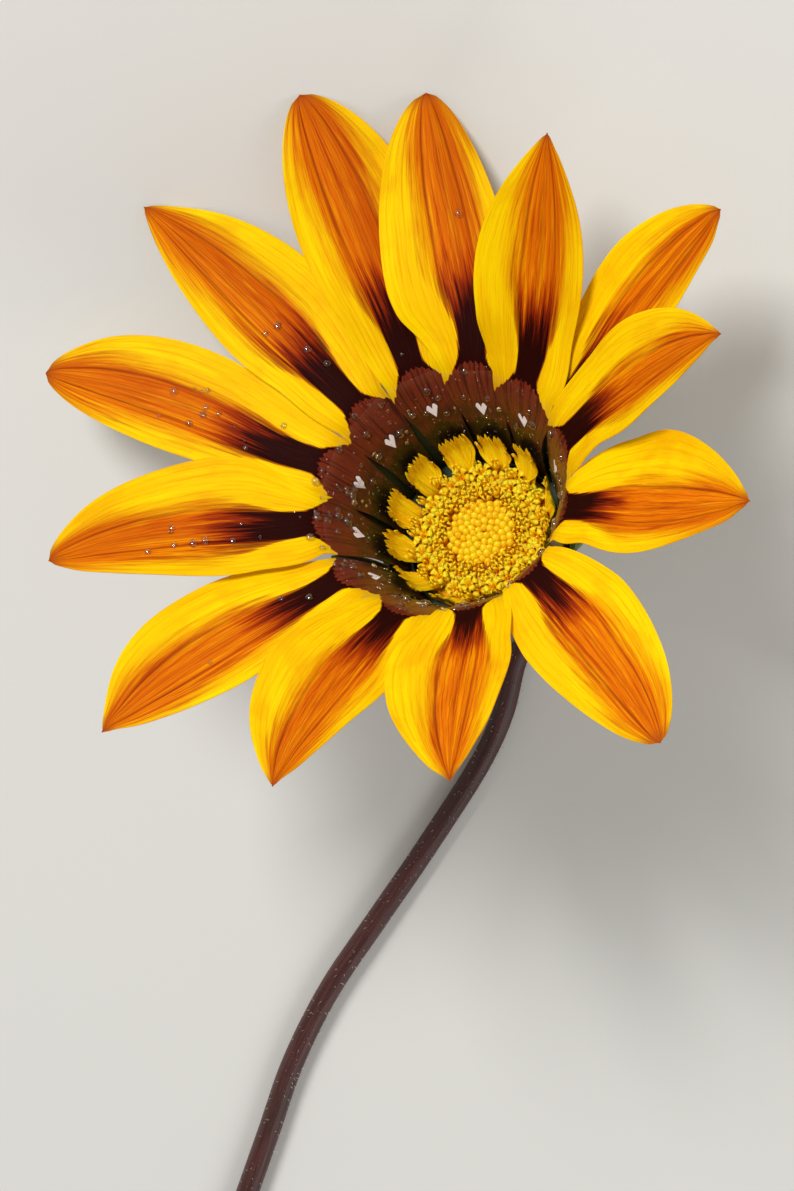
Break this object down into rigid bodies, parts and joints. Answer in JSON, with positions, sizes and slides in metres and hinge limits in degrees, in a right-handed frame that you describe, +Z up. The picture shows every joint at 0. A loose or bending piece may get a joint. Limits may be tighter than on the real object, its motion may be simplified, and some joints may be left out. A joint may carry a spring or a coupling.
{
  "type": "treasure flower",
  "caption": "Cut treasure flower lying down: striped yellow and orange rays flaring from a deep throat round a domed disc, on a curved bare stem.",
  "frame": {"origin": "centre of the bounding box, on the surface that the flower lies on", "axes": "+Z up from that surface; +Y from the cut end of the stem towards the head; +X to the right when the stem points away"},
  "size_m": [0.0778, 0.1684, 0.066],
  "materials": {
    "ray": "satin petal, yellow margins, orange stripe, black blotch and brown claw",
    "floret": "waxy yellow floret",
    "bud": "waxy orange bud",
    "bract": "satin green bract with purple tips",
    "stem": "smooth purple-brown stem with fine hairs",
    "dew": "clear water bead"
  },
  "bodies": {
    "root": {"stem": "stem", "involucre": "bract", "disc_florets": "floret", "disc_buds": "bud", "ray_01": "ray", "ray_02": "ray", "ray_03": "ray", "ray_04": "ray", "ray_05": "ray", "ray_06": "ray", "ray_07": "ray", "ray_08": "ray", "ray_09": "ray", "ray_10": "ray", "ray_11": "ray", "ray_12": "ray", "ray_13": "ray"}
  },
  "joints": []
}
